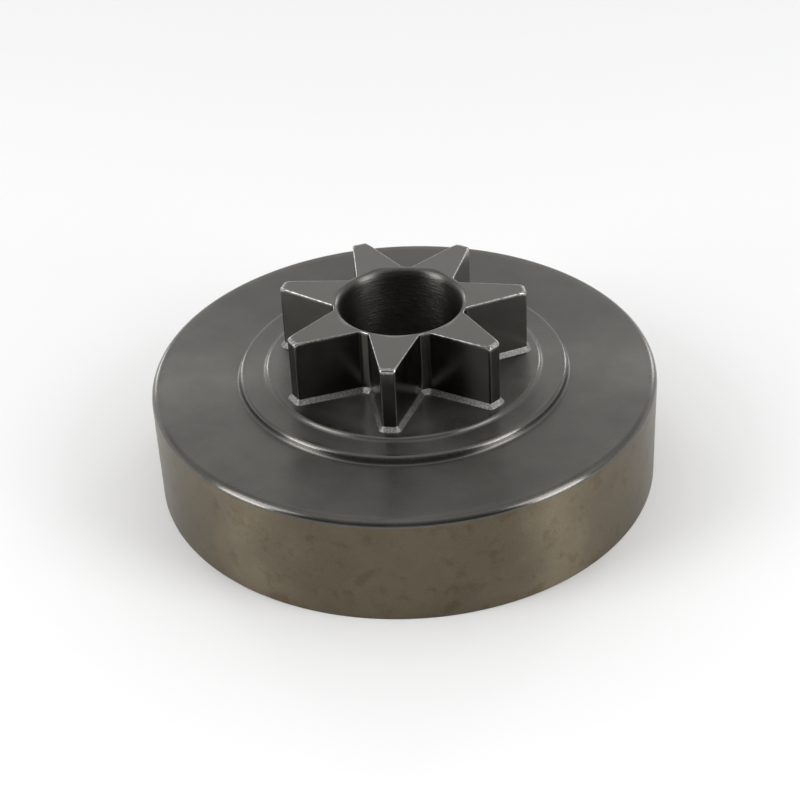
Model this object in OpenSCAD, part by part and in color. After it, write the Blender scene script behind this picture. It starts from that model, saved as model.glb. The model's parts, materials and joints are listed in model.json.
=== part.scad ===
// Spur chain sprocket made in one piece with its clutch drum.
// The drum is a cup that opens downwards: clutch shoes press on its inner wall and a brake band may grip the outer one.
// The star on the closed face drives the chain. The bore carries a needle bearing on the engine shaft.
// The origin is on the axis, in the plane of the open rim, and the star points up.

/* [Drum] */
// Outer diameter of the drum wall
drum_d = 76; // [68:0.5:90]
// Height from the open rim to the outer flat face
drum_h = 17; // [12:0.5:26]
// Thickness of the drum wall
wall_t = 3; // [2:0.25:5]
// Thickness of the closed web under the outer flat face
web_t = 3; // [2:0.25:5]
// Rounding between the outer wall and the flat face
rim_round = 1; // [0.4:0.1:1.8]
// Fillet between the shoe wall and the web, inside the cup
cup_fillet = 1.5; // [0.5:0.25:3]
// Lead-in chamfer for the shoes at the open rim
rim_lead = 0.5; // [0.2:0.1:0.8]
// Edge break outside, at the open rim
rim_break = 0.2; // [0.1:0.1:0.6]

/* [Raised boss] */
// Diameter of the boss where its flat top ends
boss_d = 48.2; // [44:0.1:54]
// Rise of the boss above the flat face
boss_rise = 1.2; // [0.85:0.05:2]
// Steepest slope of the boss step, in degrees
boss_slope = 80; // [60:1:85]
// Rounding at the top edge of the boss
boss_round = 0.6; // [0.2:0.05:0.8]
// Fillet at the foot of the boss
boss_fillet = 0.37; // [0.1:0.01:0.4]

/* [Star seat] */
// Diameter of the seat under the star where its flat top ends
seat_d = 40.4; // [40:0.1:42.5]
// Rise of the seat above the boss
seat_rise = 0.45; // [0.45:0.05:1]
// Steepest slope of the seat step, in degrees
seat_slope = 50; // [35:1:51]
// Rounding at the top edge of the seat
seat_round = 0.6; // [0.1:0.05:0.6]
// Fillet at the foot of the seat
seat_fillet = 0.6; // [0.1:0.05:0.6]

/* [Star] */
// Number of teeth
teeth = 7; // [6:1:8]
// Distance across the star, from the axis to a tooth tip, doubled
tip_d = 37.5; // [36:0.1:38.5]
// Width of a tooth at its flat tip
tip_w = 2.12; // [1.6:0.02:3]
// Distance from the axis to the flat root between two teeth, doubled
root_d = 19.9; // [19.6:0.1:22]
// Width of the flat root between two teeth
root_w = 1.44; // [1:0.02:2]
// Height of the star above its seat
star_h = 10.25; // [7:0.25:16]
// Rounding of the upright edges at each tip
tip_edge_round = 0.45; // [0.25:0.05:0.6]
// Rounding of the top edge at each tip
tip_top_round = 0.4; // [0.1:0.05:0.8]
// Bevel at the foot of the star
foot_bevel = 0.6; // [0.2:0.05:0.8]
// Edge break along the flanks at the top of the star
flank_break = 0.12; // [0.05:0.01:0.2]

/* [Bore] */
// Diameter of the bearing bore
bore_d = 18.4; // [14:0.1:18.6]
// Chamfer at the star end of the bore
bore_top_chamfer = 0.4; // [0.1:0.05:0.5]
// Chamfer at the web end of the bore
bore_low_chamfer = 0.6; // [0.2:0.1:1]

/* [Hidden] */
$fn = 128;
steel = [0.33, 0.33, 0.31];
// Steps in each rounded stretch of a profile
arc_steps = 6;
edge_steps = 4;
// How far shapes run into each other, or past a face that they cut
overlap = 0.5;

drum_r = drum_d / 2;
shoe_r = drum_r - wall_t;
boss_r = boss_d / 2;
seat_r = seat_d / 2;
bore_r = bore_d / 2;
tip_r = tip_d / 2;
root_r = root_d / 2;

web_z = drum_h - web_t;
boss_z = drum_h + boss_rise;
seat_z = boss_z + seat_rise;
top_z = seat_z + star_h;
pitch = 360 / teeth;

// A tooth pointing along +X, as places in plan: tip corner and root corner
tip_corner = [tip_r, tip_w / 2];
root_corner = [
    root_r * cos(pitch / 2) + root_w / 2 * sin(pitch / 2),
    root_r * sin(pitch / 2) - root_w / 2 * cos(pitch / 2)
];
flank_lean = atan2(root_corner.y - tip_corner.y, tip_corner.x - root_corner.x);
// Half of the turn that the outline makes at a tip corner
tip_half_turn = (90 - flank_lean) / 2;
// Half of the turn that it makes at a root corner
root_half_turn = (90 - flank_lean - pitch / 2) / 2;
// Turned radius of the blank that the star is cut from
blank_r = norm(tip_corner);

// Points on a round stretch about a centre, from one angle to another
function arc(centre, r, from, to, steps) = [
    for (i = [0 : steps])
        let (a = from + (to - from) * i / steps)
            centre + r * [cos(a), sin(a)]
];

function mirrored(points) = [for (i = [len(points) - 1 : -1 : 0]) [points[i].x, -points[i].y]];

function turned(points, a) = [for (p = points) [p.x * cos(a) - p.y * sin(a), p.x * sin(a) + p.y * cos(a)]];

// Section of a step up towards the axis: foot fillet, slope, rounded top edge
function step_run(rise, slope, top_round, foot_fillet) =
    (top_round + foot_fillet) * sin(slope)
    + (rise - (top_round + foot_fillet) * (1 - cos(slope))) / tan(slope);

function step_section(top_r, low_z, rise, slope, top_round, foot_fillet) =
    let (foot_r = top_r + step_run(rise, slope, top_round, foot_fillet))
        concat(
            arc([foot_r, low_z + foot_fillet], foot_fillet, -90, -90 - slope, arc_steps),
            arc([top_r, low_z + rise - top_round], top_round, 90 - slope, 90, arc_steps)
        );

// Outline of the star, moved outwards by grow all round. Each tooth gives the half before its tip and the half after.
function half_tooth(grow) =
    let (
        tip_centre = tip_corner - tip_edge_round * [1, tan(tip_half_turn)],
        root_turn = pitch / 2 + root_half_turn,
        root_point = root_corner + grow / cos(root_half_turn) * [cos(root_turn), sin(root_turn)]
    )
        concat(arc(tip_centre, tip_edge_round + grow, 0, 2 * tip_half_turn, edge_steps), [root_point]);

function star_outline(grow) = [
    for (k = [0 : teeth - 1])
        let (half = half_tooth(grow))
            each turned(concat(mirrored(half), half), k * pitch - 90)
];

// Solid through the same outline at several heights: each level is [height, how far the outline is moved outwards]
module star_loft(levels) {
    rings = [for (level = levels) [for (p = star_outline(level[1])) [p.x, p.y, level[0]]]];
    n = len(rings[0]);
    last = len(rings) - 1;
    low_centre = n * len(rings);
    top_centre = low_centre + 1;
    sides = [
        for (k = [0 : last - 1], i = [0 : n - 1])
            [k * n + i, (k + 1) * n + i, (k + 1) * n + (i + 1) % n, k * n + (i + 1) % n]
    ];
    low_face = [for (i = [0 : n - 1]) [low_centre, i, (i + 1) % n]];
    top_face = [for (i = [0 : n - 1]) [top_centre, last * n + (i + 1) % n, last * n + i]];
    polyhedron(
        points = concat(
            [for (ring = rings) each ring],
            [[0, 0, levels[0][0]], [0, 0, levels[last][0]]]
        ),
        faces = concat(low_face, sides, top_face)
    );
}

// Turned blank that the star is cut from: it rounds the top of each tip and leaves the foot bevel clear
module star_blank() {
    clear_r = blank_r + foot_bevel + overlap;
    clear_z = seat_z + foot_bevel + overlap;
    rotate_extrude()
        polygon(concat(
            [[0, seat_z - 2 * overlap], [clear_r, seat_z - 2 * overlap], [clear_r, clear_z], [blank_r, clear_z]],
            arc([blank_r - tip_top_round, top_z - tip_top_round], tip_top_round, 0, 90, edge_steps),
            [[0, top_z]]
        ));
}

module star() {
    intersection() {
        star_loft([
            [seat_z - overlap, foot_bevel],
            [seat_z, foot_bevel],
            [seat_z + foot_bevel, 0],
            [top_z - flank_break, 0],
            [top_z, -flank_break]
        ]);
        star_blank();
    }
}

module drum() {
    rotate_extrude()
        polygon(concat(
            [[shoe_r + rim_lead, 0], [drum_r - rim_break, 0], [drum_r, rim_break]],
            arc([drum_r - rim_round, drum_h - rim_round], rim_round, 0, 90, arc_steps),
            step_section(boss_r, drum_h, boss_rise, boss_slope, boss_round, boss_fillet),
            step_section(seat_r, boss_z, seat_rise, seat_slope, seat_round, seat_fillet),
            [[0, seat_z], [0, web_z]],
            arc([shoe_r - cup_fillet, web_z - cup_fillet], cup_fillet, 90, 0, arc_steps),
            [[shoe_r, rim_lead]]
        ));
}

module bore() {
    translate([0, 0, web_z - overlap])
        cylinder(r = bore_r, h = top_z - web_z + 2 * overlap);
    translate([0, 0, top_z - bore_top_chamfer])
        cylinder(r1 = bore_r, r2 = bore_r + bore_top_chamfer + overlap, h = bore_top_chamfer + overlap);
    translate([0, 0, web_z - overlap])
        cylinder(r1 = bore_r + bore_low_chamfer + overlap, r2 = bore_r, h = bore_low_chamfer + overlap);
}

module sprocket() {
    color(steel)
        difference() {
            union() {
                drum();
                star();
            }
            bore();
        }
}

sprocket();
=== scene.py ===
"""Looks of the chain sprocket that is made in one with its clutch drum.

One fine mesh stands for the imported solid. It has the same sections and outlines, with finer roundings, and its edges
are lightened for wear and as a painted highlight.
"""

import json
from math import atan2, cos, pi, radians, sin, tan

import bpy
import numpy as np
from mathutils import Matrix, Vector


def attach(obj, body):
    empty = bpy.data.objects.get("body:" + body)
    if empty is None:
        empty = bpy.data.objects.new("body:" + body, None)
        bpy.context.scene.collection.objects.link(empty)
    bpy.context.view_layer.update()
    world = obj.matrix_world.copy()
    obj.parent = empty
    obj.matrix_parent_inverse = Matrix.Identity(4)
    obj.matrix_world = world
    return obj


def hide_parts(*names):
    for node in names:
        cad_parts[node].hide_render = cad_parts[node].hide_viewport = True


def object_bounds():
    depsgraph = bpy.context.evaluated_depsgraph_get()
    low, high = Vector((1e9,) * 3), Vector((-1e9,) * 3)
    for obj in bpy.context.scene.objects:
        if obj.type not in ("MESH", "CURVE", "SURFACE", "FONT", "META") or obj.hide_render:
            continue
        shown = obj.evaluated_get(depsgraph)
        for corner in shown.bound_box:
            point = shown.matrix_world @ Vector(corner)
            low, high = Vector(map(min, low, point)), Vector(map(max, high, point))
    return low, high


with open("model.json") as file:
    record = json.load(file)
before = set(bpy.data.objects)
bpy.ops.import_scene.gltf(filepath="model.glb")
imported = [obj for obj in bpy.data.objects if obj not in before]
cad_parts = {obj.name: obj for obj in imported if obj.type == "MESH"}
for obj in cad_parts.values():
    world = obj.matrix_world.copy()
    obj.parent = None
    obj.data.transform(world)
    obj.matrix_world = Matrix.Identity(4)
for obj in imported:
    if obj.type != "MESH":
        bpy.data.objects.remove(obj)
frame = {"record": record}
cad_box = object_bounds()

# Lengths are in millimetres up to the mesh, which is in metres
MM = 0.001
MOUNTS = {mount["name"]: mount for mount in frame["record"]["mounts"]}

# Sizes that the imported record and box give
DRUM_R = MOUNTS["brake_wall"]["dims"]["r_mm"]
SHOE_R = MOUNTS["shoe_wall"]["dims"]["r_mm"]
BORE_R = MOUNTS["bearing_bore"]["dims"]["r_mm"]
TOP_Z = cad_box[1].z / MM

# Sizes that the solid has too
DRUM_H = 17.0
WEB_T = 3.0
RIM_ROUND = 1.0
CUP_FILLET = 1.5
RIM_LEAD = 0.5
RIM_BREAK = 0.2
BOSS_R = 24.1
BOSS_RISE = 1.2
BOSS_SLOPE = radians(80)
BOSS_ROUND = 0.6
BOSS_FILLET = 0.37
SEAT_R = 20.2
SEAT_RISE = 0.45
SEAT_SLOPE = radians(50)
SEAT_ROUND = 0.6
SEAT_FILLET = 0.6
TEETH = 7
TIP_R = 18.75
TIP_W = 2.12
ROOT_R = 9.95
ROOT_W = 1.44
TIP_EDGE_ROUND = 0.45
TIP_TOP_ROUND = 0.4
FOOT_BEVEL = 0.6
FLANK_BREAK = 0.12
BORE_TOP_CHAMFER = 0.4
BORE_LOW_CHAMFER = 0.6

# Fillet in each root, which only this mesh has
ROOT_FILLET = 0.7

WEB_Z = DRUM_H - WEB_T
BOSS_Z = DRUM_H + BOSS_RISE
SEAT_Z = BOSS_Z + SEAT_RISE
PITCH = 2 * pi / TEETH
FIRST_TOOTH = -pi / 2

# Camera, fitted to the photograph's rims, rings and star edges
CAMERA_AZIMUTH = radians(7.323)
CAMERA_ELEVATION = radians(34.148)
CAMERA_ROLL = radians(-2.888)
CAMERA_DISTANCE = 292.148
AIM_RIGHT = -0.769
AIM_UP = 9.291
FOCAL_LENGTH_PX = 1871.2
PICTURE_WIDTH_PX = 800
SENSOR_WIDTH = 36.0


# Star outline

def direction(angle):
    """Unit vector in plan."""
    return np.array([cos(angle), sin(angle)])


def arc(centre, radius, start, end, steps):
    """Points on a round stretch about a centre."""
    return [np.asarray(centre) + radius * direction(a) for a in np.linspace(start, end, steps + 1)]


TIP_CORNER = np.array([TIP_R, TIP_W / 2])
ROOT_CORNER = ROOT_R * direction(PITCH / 2) + ROOT_W / 2 * direction(PITCH / 2 - pi / 2)
FLANK = ROOT_CORNER - TIP_CORNER
FLANK_LEAN = atan2(FLANK[1], -FLANK[0])
TIP_HALF_TURN = (pi / 2 - FLANK_LEAN) / 2
ROOT_HALF_TURN = (pi / 2 - FLANK_LEAN - PITCH / 2) / 2
FLANK_NORMAL = pi / 2 - FLANK_LEAN
TIP_STEPS = 3
CORNER_STEPS = 8
FLANK_STEPS = 16
ROOT_STEPS = 3


def half_tooth(grow):
    """Half of a tooth that points along +X, from the middle of its tip to the middle of the root, moved out by grow."""
    tip_centre = TIP_CORNER - TIP_EDGE_ROUND * np.array([1.0, tan(TIP_HALF_TURN)])
    tip_arc = arc(tip_centre, TIP_EDGE_ROUND + grow, 0.0, FLANK_NORMAL, CORNER_STEPS)
    root_middle = (ROOT_R + grow) * direction(PITCH / 2)
    root_turn = PITCH / 2 + ROOT_HALF_TURN
    root_centre = ROOT_CORNER + ROOT_FILLET / cos(ROOT_HALF_TURN) * direction(root_turn)
    root_arc = arc(root_centre, ROOT_FILLET - grow, FLANK_NORMAL - pi, PITCH / 2 - pi, CORNER_STEPS)
    tip_middle = np.array([TIP_R + grow, 0.0])
    tip = [tip_middle + (tip_arc[0] - tip_middle) * i / TIP_STEPS for i in range(TIP_STEPS)]
    ends = [np.arctan2(p[1], p[0]) for p in (tip_arc[-1], root_arc[0])]
    flank = []
    for angle in np.linspace(ends[0], ends[1], FLANK_STEPS + 1)[1:-1]:
        ray = direction(angle)
        along = (tip_arc[-1] @ direction(FLANK_NORMAL)) / (ray @ direction(FLANK_NORMAL))
        flank.append(along * ray)
    root = [root_arc[-1] + (root_middle - root_arc[-1]) * i / ROOT_STEPS for i in range(1, ROOT_STEPS + 1)]
    return np.array(tip + tip_arc + flank + root_arc + root)


def star_outline(grow):
    """All round the star, the same points at every grow."""
    half = half_tooth(grow)
    tooth = np.concatenate([half[:0:-1] * [1, -1], half[:-1]])
    turns = []
    for k in range(TEETH):
        angle = FIRST_TOOTH + k * PITCH
        turn = np.array([[cos(angle), sin(angle)], [-sin(angle), cos(angle)]])
        turns.append(tooth @ turn)
    return np.concatenate(turns)


BASE_OUTLINE = star_outline(0.0)
COLUMNS = len(BASE_OUTLINE)
BEARING = np.arctan2(BASE_OUTLINE[:, 1], BASE_OUTLINE[:, 0])
SPOKES = np.stack([np.cos(BEARING), np.sin(BEARING)], 1)


def grown_outline(grow):
    """The outline moved out by an amount of its own at every column."""
    levels = np.linspace(-0.45, 0.65, 12)
    stack = np.array([star_outline(level) for level in levels])
    place = np.interp(grow, levels, np.arange(len(levels)))
    low = np.minimum(place.astype(int), len(levels) - 2)
    share = (place - low)[:, None]
    column = np.arange(COLUMNS)
    return stack[low, column] * (1 - share) + stack[low + 1, column] * share


# Rings: each is a closed loop of points with the marks that the finish needs

rings = []
marks = []

# Marks of the rings that are milled and not turned
MILLED_MARKS = ("foot", "flank", "edge", "top")


def add_ring(plan, height, **mark):
    rings.append(np.column_stack([plan, np.broadcast_to(height, COLUMNS)]))
    marks.append(mark)


def add_circle(radius, height, **mark):
    add_ring(radius * SPOKES, height, **mark)


def add_line(start, end, steps, first=1, **mark):
    """Circles along a straight stretch of the section."""
    for i in range(first, steps + 1):
        share = i / steps
        add_circle(start[0] + (end[0] - start[0]) * share, start[1] + (end[1] - start[1]) * share, **mark)


def add_arc(centre, radius, start, end, steps, **mark):
    """Circles along a round stretch of the section, after the one that it starts from."""
    for point in arc(centre, radius, start, end, steps)[1:]:
        add_circle(point[0], point[1], **mark)


def build_cup():
    """From the web's underside out and down the shoe wall to the open rim."""
    add_line((BORE_R + BORE_LOW_CHAMFER, WEB_Z), (SHOE_R - CUP_FILLET, WEB_Z), 12, first=0, cup=1)
    add_arc((SHOE_R - CUP_FILLET, WEB_Z - CUP_FILLET), CUP_FILLET, pi / 2, 0, 8, cup=1)
    add_line((SHOE_R, WEB_Z - CUP_FILLET), (SHOE_R, RIM_LEAD), 10, cup=1)
    add_line((SHOE_R, RIM_LEAD), (SHOE_R + RIM_LEAD, 0), 2, cup=1)
    add_line((SHOE_R + RIM_LEAD, 0), (DRUM_R - RIM_BREAK, 0), 3, cup=1)


def build_wall():
    """Up the outer wall and over the rim's rounding."""
    add_arc((DRUM_R - RIM_BREAK, RIM_BREAK), RIM_BREAK, -pi / 2, 0, 4, wall=1)
    add_line((DRUM_R, RIM_BREAK), (DRUM_R, DRUM_H - RIM_ROUND), 16, wall=1)
    add_arc((DRUM_R - RIM_ROUND, DRUM_H - RIM_ROUND), RIM_ROUND, 0, pi / 2, 14, rim=1)


def add_step(top_r, low_z, rise, slope, top_round, foot_fillet, **mark):
    """A step up towards the axis: foot fillet, slope, rounded top edge."""
    straight = (rise - (top_round + foot_fillet) * (1 - cos(slope))) / tan(slope)
    foot_r = top_r + (top_round + foot_fillet) * sin(slope) + straight
    add_line((rings[-1][0][:2] @ SPOKES[0], low_z), (foot_r, low_z), 10)
    add_arc((foot_r, low_z + foot_fillet), foot_fillet, -pi / 2, -pi / 2 - slope, 8)
    add_circle(top_r + top_round * sin(slope), low_z + rise - top_round * (1 - cos(slope)), **mark)
    add_arc((top_r, low_z + rise - top_round), top_round, pi / 2 - slope, pi / 2, 10, **mark)


def build_face():
    """In across the flat face, the boss and the star's seat."""
    add_step(BOSS_R, DRUM_H, BOSS_RISE, BOSS_SLOPE, BOSS_ROUND, BOSS_FILLET, step=1)
    add_step(SEAT_R, BOSS_Z, SEAT_RISE, SEAT_SLOPE, SEAT_ROUND, SEAT_FILLET, step=1)


def edge_round():
    """Rounding of the star's top edge at each column: a thin break on the flanks, a larger round at the tips."""
    radius = np.linalg.norm(BASE_OUTLINE, axis=1)
    share = np.clip((radius - (TIP_R - TIP_EDGE_ROUND)) / (TIP_EDGE_ROUND * 0.6), 0, 1)
    share = share * share * (3 - 2 * share)
    return FLANK_BREAK + (TIP_TOP_ROUND - FLANK_BREAK) * share


def build_star():
    """In to the foot of the star, up its walls, over its edge and in to the bore."""
    foot = star_outline(FOOT_BEVEL)
    seat = SEAT_R * SPOKES
    for share in (0.3, 0.6, 0.9):
        add_ring(seat + (foot - seat) * share, SEAT_Z)
    for share in (0.0, 0.06, 0.35, 0.65, 0.94, 1.0):
        add_ring(star_outline(FOOT_BEVEL * (1 - share)), SEAT_Z + FOOT_BEVEL * share, foot=1)
    top_round = edge_round()
    wall_low = SEAT_Z + FOOT_BEVEL
    for share in (0.01, 0.1, 0.2, 0.3, 0.4, 0.5, 0.6, 0.7, 0.8, 0.9, 0.96):
        add_ring(BASE_OUTLINE, wall_low + (TOP_Z - top_round - wall_low) * share, flank=1)
    for angle in np.linspace(0, pi / 2, 6):
        add_ring(grown_outline(top_round * (cos(angle) - 1)), TOP_Z + top_round * (sin(angle) - 1), edge=1)
    inner_r = BORE_R + BORE_TOP_CHAMFER
    outer = grown_outline(-top_round)
    inner = inner_r * SPOKES
    for share in (0.03, 0.08, 0.2, 0.35, 0.5, 0.65, 0.8, 0.92):
        add_ring(outer + (inner - outer) * share, TOP_Z, top=1)
    add_circle(inner_r, TOP_Z, top=1)


def build_bore():
    """Down the bore to the web's underside, where the first ring closes the mesh."""
    add_line((BORE_R + BORE_TOP_CHAMFER, TOP_Z), (BORE_R, TOP_Z - BORE_TOP_CHAMFER), 3, chamfer=1)
    low = WEB_Z + BORE_LOW_CHAMFER
    add_line((BORE_R, TOP_Z - BORE_TOP_CHAMFER), (BORE_R, low), 14, bore=1)
    add_line((BORE_R, low), (BORE_R + BORE_LOW_CHAMFER * 0.7, WEB_Z + BORE_LOW_CHAMFER * 0.3), 2, bore=1)


def build_sprocket():
    build_cup()
    build_wall()
    build_face()
    build_star()
    build_bore()
    points = np.concatenate(rings) * MM
    count = len(rings)
    ring, column = np.meshgrid(np.arange(count), np.arange(COLUMNS), indexing="ij")
    ring_next = (ring + 1) % count
    column_next = (column + 1) % COLUMNS
    faces = np.stack([
        ring * COLUMNS + column, ring * COLUMNS + column_next,
        ring_next * COLUMNS + column_next, ring_next * COLUMNS + column,
    ], -1).reshape(-1, 4)
    mesh = bpy.data.meshes.new("sprocket_and_drum")
    mesh.from_pydata(points.tolist(), [], faces.tolist())
    for name in sorted({name for mark in marks for name in mark}):
        layer = mesh.attributes.new(name, "FLOAT", "POINT")
        layer.data.foreach_set("value", np.repeat([float(mark.get(name, 0)) for mark in marks], COLUMNS))
    milled = [any(name in mark for name in MILLED_MARKS) for mark in marks]
    mesh.polygons.foreach_set("material_index", np.repeat(np.array(milled, dtype=np.int32), COLUMNS))
    mesh.shade_smooth()
    mesh.update()
    piece = bpy.data.objects.new("sprocket_and_drum", mesh)
    bpy.context.scene.collection.objects.link(piece)
    smooth = piece.modifiers.new("even_normals", "WEIGHTED_NORMAL")
    smooth.mode = "FACE_AREA"
    smooth.weight = 60
    return piece


# Finish

class Graph:
    """Short calls for building one material's nodes. Every input is a number, a tuple or another node's output."""

    def __init__(self, name):
        self.material = bpy.data.materials.new(name)
        self.material.use_nodes = True
        self.nodes = self.material.node_tree.nodes
        self.links = self.material.node_tree.links
        self.shader = self.nodes["Principled BSDF"]

    def put(self, socket, value):
        if isinstance(value, bpy.types.NodeSocket):
            self.links.new(value, socket)
        else:
            socket.default_value = value

    def add(self, kind, settings=(), **inputs):
        made = self.nodes.new("ShaderNode" + kind)
        for name, value in dict(settings).items():
            setattr(made, name, value)
        for name, value in inputs.items():
            self.put(made.inputs[name.replace("_", " ")], value)
        return made

    def math(self, operation, *values):
        made = self.nodes.new("ShaderNodeMath")
        made.operation = operation
        for socket, value in zip(made.inputs, values):
            self.put(socket, value)
        return made.outputs["Value"]

    def spread(self, value, low, high, to_low=0.0, to_high=1.0):
        """Carries low..high over to to_low..to_high, with soft ends."""
        made = self.add("MapRange", {"interpolation_type": "SMOOTHSTEP"}, Value=value)
        ends = {"From Min": low, "From Max": high, "To Min": to_low, "To Max": to_high}
        for name, number in ends.items():
            self.put(made.inputs[name], number)
        return made.outputs["Result"]

    def mark(self, name):
        return self.add("Attribute", {"attribute_name": name}).outputs["Fac"]

    def blend(self, share, first, second):
        made = self.nodes.new("ShaderNodeMix")
        made.data_type = "RGBA"
        for name, value in (("Factor_Float", share), ("A_Color", first), ("B_Color", second)):
            self.put(next(i for i in made.inputs if i.identifier == name), value)
        return next(o for o in made.outputs if o.identifier == "Result_Color")

    def scaled(self, vector, share):
        made = self.nodes.new("ShaderNodeVectorMath")
        made.operation = "SCALE"
        self.put(made.inputs[0], vector)
        self.put(made.inputs["Scale"], share)
        return made.outputs["Vector"]

    def place(self):
        """Places on the part, in millimetres."""
        return self.scaled(self.add("TexCoord").outputs["Object"], 1 / MM)

    def round_place(self, along, across, out):
        """Places as (way round the axis, height, distance out) in millimetres, each with its own stretch."""
        split = self.add("SeparateXYZ", Vector=self.place())
        angle = self.math("ARCTAN2", split.outputs["Y"], split.outputs["X"])
        squares = [self.math("POWER", split.outputs[axis], 2.0) for axis in "XY"]
        radius = self.math("SQRT", self.math("ADD", *squares))
        made = self.add("CombineXYZ")
        self.put(made.inputs["X"], self.math("MULTIPLY", angle, along))
        self.put(made.inputs["Y"], self.math("MULTIPLY", split.outputs["Z"], across))
        self.put(made.inputs["Z"], self.math("MULTIPLY", radius, out))
        return made.outputs["Vector"]

    def noise(self, place, scale, detail=3.0, rough=0.5):
        return self.add("TexNoise", Vector=place, Scale=scale, Detail=detail, Roughness=rough).outputs["Fac"]

    def bump(self, height, distance, strength=1.0, below=None):
        made = self.add("Bump", Height=height, Distance=distance, Strength=strength)
        if below is not None:
            self.put(made.inputs["Normal"], below)
        return made.outputs["Normal"]

    def finish(self, **inputs):
        for name, value in inputs.items():
            self.put(self.shader.inputs[name.replace("_", " ")], value)
        return self.material


GREY_STEEL = (0.118, 0.114, 0.106, 1)
OLIVE_STEEL = (0.138, 0.117, 0.082, 1)
BROWN_STAIN = (0.105, 0.078, 0.047, 1)
# Lighter steel, for worn edges and for painted highlights on the star's edges and foot bevel
WORN_AND_HIGHLIGHT_STEEL = (0.42, 0.41, 0.39, 1)


def turned_steel():
    """Wall, flat face, steps, bore and cup: turned round the axis, so that gloss spreads across the cuts."""
    g = Graph("turned_steel")
    place = g.place()
    cloud = g.noise(place, 0.09, 4.0, 0.6)
    patch = g.noise(place, 0.35, 3.0, 0.55)
    grain = g.noise(place, 4.0, 2.0)
    wall = g.mark("wall")
    polish = g.math("MAXIMUM", g.mark("rim"), g.mark("step"))
    colour = g.blend(wall, GREY_STEEL, OLIVE_STEEL)
    stain = g.math("MULTIPLY", g.spread(patch, 0.52, 0.7), g.math("MULTIPLY", wall, 0.6))
    colour = g.blend(stain, colour, BROWN_STAIN)
    shade = g.math("ADD", g.spread(cloud, 0.3, 0.7, 0.86, 1.1), g.spread(grain, 0.3, 0.7, -0.05, 0.05))
    colour = g.scaled(colour, shade)
    rough = g.math("ADD", g.spread(cloud, 0.3, 0.7, 0.34, 0.4), g.math("MULTIPLY", polish, -0.13))
    cuts = g.noise(g.round_place(0.6, 5.0, 5.0), 1.0, 3.0)
    bore_cuts = g.noise(g.round_place(3.0, 3.5, 0.0), 1.0, 3.0, 0.6)
    normal = g.bump(grain, 0.002 * MM)
    normal = g.bump(cuts, 0.004 * MM, 1.0, normal)
    normal = g.bump(g.math("MULTIPLY", bore_cuts, g.mark("bore")), 0.12 * MM, 1.0, normal)
    tangent = g.add("Tangent", {"direction_type": "RADIAL", "axis": "Z"}).outputs["Tangent"]
    return g.finish(
        Base_Color=colour, Metallic=1.0, Roughness=rough, Normal=normal,
        Anisotropic=0.8, Anisotropic_Rotation=0.25, Tangent=tangent,
    )


def milled_steel():
    """The star: smooth milled flanks, a ground top, edges lightened for wear and as a painted highlight, and a painted
    highlight in grains on the foot bevel.
    """
    g = Graph("milled_steel")
    place = g.place()
    cloud = g.noise(place, 0.3, 3.0)
    grain = g.noise(place, 5.0, 3.0, 0.6)
    # Star edges: lighter steel for wear and as a painted highlight, broken up by noise
    edge_wear_and_highlight = g.math("MULTIPLY", g.mark("edge"), g.spread(g.noise(place, 2.2, 3.0, 0.7), 0.35, 0.6, 0.25, 1.0))
    foot = g.mark("foot")
    colour = g.blend(edge_wear_and_highlight, GREY_STEEL, WORN_AND_HIGHLIGHT_STEEL)
    # Foot bevel: lighter steel in grains, a painted highlight
    colour = g.blend(g.math("MULTIPLY", foot, g.spread(grain, 0.35, 0.65, 0.0, 0.6)), colour, WORN_AND_HIGHLIGHT_STEEL)
    rough = g.math("ADD", g.spread(cloud, 0.3, 0.7, 0.2, 0.26), g.math("MULTIPLY", foot, 0.2))
    normal = g.bump(grain, 0.004 * MM)
    normal = g.bump(g.math("MULTIPLY", grain, foot), 0.08 * MM, 1.0, normal)
    return g.finish(Base_Color=colour, Metallic=1.0, Roughness=rough, Normal=normal)


def floor_material():
    material = bpy.data.materials.new("pale_floor")
    material.use_nodes = True
    shader = material.node_tree.nodes["Principled BSDF"]
    shader.inputs["Base Color"].default_value = (0.9, 0.9, 0.9, 1)
    shader.inputs["Roughness"].default_value = 0.9
    shader.inputs["Specular IOR Level"].default_value = 0.0
    return material


# Stage

def camera_axes():
    """Right, up and back of the camera before its roll."""
    a, e = CAMERA_AZIMUTH, CAMERA_ELEVATION
    right = Vector((cos(a), sin(a), 0))
    back = Vector((sin(a) * cos(e), -cos(a) * cos(e), sin(e)))
    return right, back.cross(right), back


def add_camera():
    right, up, back = camera_axes()
    place = (AIM_RIGHT * right + AIM_UP * up + CAMERA_DISTANCE * back) * MM
    data = bpy.data.cameras.new("camera")
    data.sensor_width = SENSOR_WIDTH
    data.lens = FOCAL_LENGTH_PX / PICTURE_WIDTH_PX * SENSOR_WIDTH
    data.clip_start = 0.01
    camera = bpy.data.objects.new("camera", data)
    c, s = cos(CAMERA_ROLL), sin(CAMERA_ROLL)
    columns = [right * c + up * s, up * c - right * s, back]
    camera.matrix_world = Matrix.Translation(place) @ Matrix(columns).transposed().to_4x4()
    bpy.context.scene.collection.objects.link(camera)
    bpy.context.scene.camera = camera


def add_floor():
    half = 3.0
    mesh = bpy.data.meshes.new("floor")
    mesh.from_pydata([(-half, -half, 0), (half, -half, 0), (half, half, 0), (-half, half, 0)], [], [(0, 1, 2, 3)])
    mesh.materials.append(floor_material())
    floor = bpy.data.objects.new("floor", mesh)
    bpy.context.scene.collection.objects.link(floor)


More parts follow.
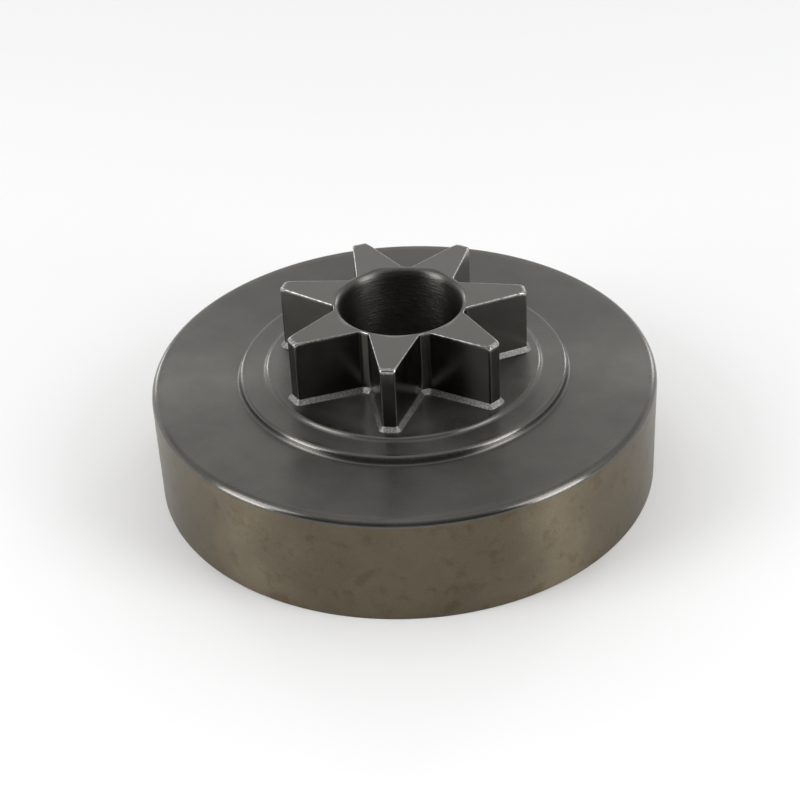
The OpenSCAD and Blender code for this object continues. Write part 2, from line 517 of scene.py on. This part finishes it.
def add_panel(name, azimuth, elevation, distance, width, height, radiance):
    """A soft rectangular light that faces the part. Azimuth 0 is at the camera's side, 90 at the camera's right."""
    a, e = CAMERA_AZIMUTH + radians(azimuth), radians(elevation)
    back = Vector((sin(a) * cos(e), -cos(a) * cos(e), sin(e)))
    data = bpy.data.lights.new(name, "AREA")
    data.shape = "RECTANGLE"
    data.size = width
    data.size_y = height
    data.energy = radiance * width * height * pi
    light = bpy.data.objects.new(name, data)
    light.location = back * distance
    light.rotation_mode = "QUATERNION"
    light.rotation_quaternion = back.to_track_quat("Z", "Y")
    bpy.context.scene.collection.objects.link(light)


# Brightness of the surroundings from the horizon behind the part, over the top, to the horizon behind the camera
SKY = [
    (0, 1.2), (32, 1.15), (42, 0.75), (60, 0.7), (80, 0.9),
    (100, 0.9), (116, 0.6), (136, 0.27), (156, 0.13), (180, 0.07),
]

# Soft lights round the part: name, azimuth, elevation, distance, width, height, radiance
PANELS = [
    ("left_low_panel", -69, 9, 0.5, 0.2, 0.15, 9.0),
    ("left_high_panel", -69, 34, 0.5, 0.24, 0.26, 3.5),
    ("right_low_panel", 61, 9, 0.5, 0.2, 0.15, 9.0),
    ("right_high_panel", 61, 34, 0.5, 0.24, 0.26, 3.5),
    ("left_back_panel", -150, 18, 0.6, 0.1, 0.14, 5.0),
    ("right_back_panel", 146, 20, 0.6, 0.1, 0.14, 5.0),
]


def add_world():
    world = bpy.data.worlds.new("studio")
    world.use_nodes = True
    tree = world.node_tree
    background = tree.nodes["Background"]
    place = tree.nodes.new("ShaderNodeTexCoord")
    turn = tree.nodes.new("ShaderNodeVectorRotate")
    turn.rotation_type = "Z_AXIS"
    turn.inputs["Angle"].default_value = -CAMERA_AZIMUTH
    split = tree.nodes.new("ShaderNodeSeparateXYZ")
    angle = tree.nodes.new("ShaderNodeMath")
    angle.operation = "ARCTAN2"
    share = tree.nodes.new("ShaderNodeMath")
    share.operation = "DIVIDE"
    share.inputs[1].default_value = pi
    ramp = tree.nodes.new("ShaderNodeValToRGB")
    ramp.color_ramp.interpolation = "EASE"
    steps = ramp.color_ramp.elements
    while len(steps) < len(SKY):
        steps.new(0.5)
    for step, (degree, radiance) in zip(steps, SKY):
        step.position = degree / 180
        step.color = (radiance, radiance, radiance, 1)
    tree.links.new(place.outputs["Generated"], turn.inputs["Vector"])
    tree.links.new(turn.outputs["Vector"], split.inputs["Vector"])
    tree.links.new(split.outputs["Z"], angle.inputs[0])
    tree.links.new(split.outputs["Y"], angle.inputs[1])
    tree.links.new(angle.outputs["Value"], share.inputs[0])
    tree.links.new(share.outputs["Value"], ramp.inputs["Fac"])
    tree.links.new(ramp.outputs["Color"], background.inputs["Color"])
    bpy.context.scene.world = world


add_camera()
add_floor()
add_world()
for panel in PANELS:
    add_panel(*panel)
bpy.context.scene.view_settings.view_transform = "Standard"

sprocket = build_sprocket()
sprocket.data.materials.append(turned_steel())
sprocket.data.materials.append(milled_steel())
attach(sprocket, "root")
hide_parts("sprocket")
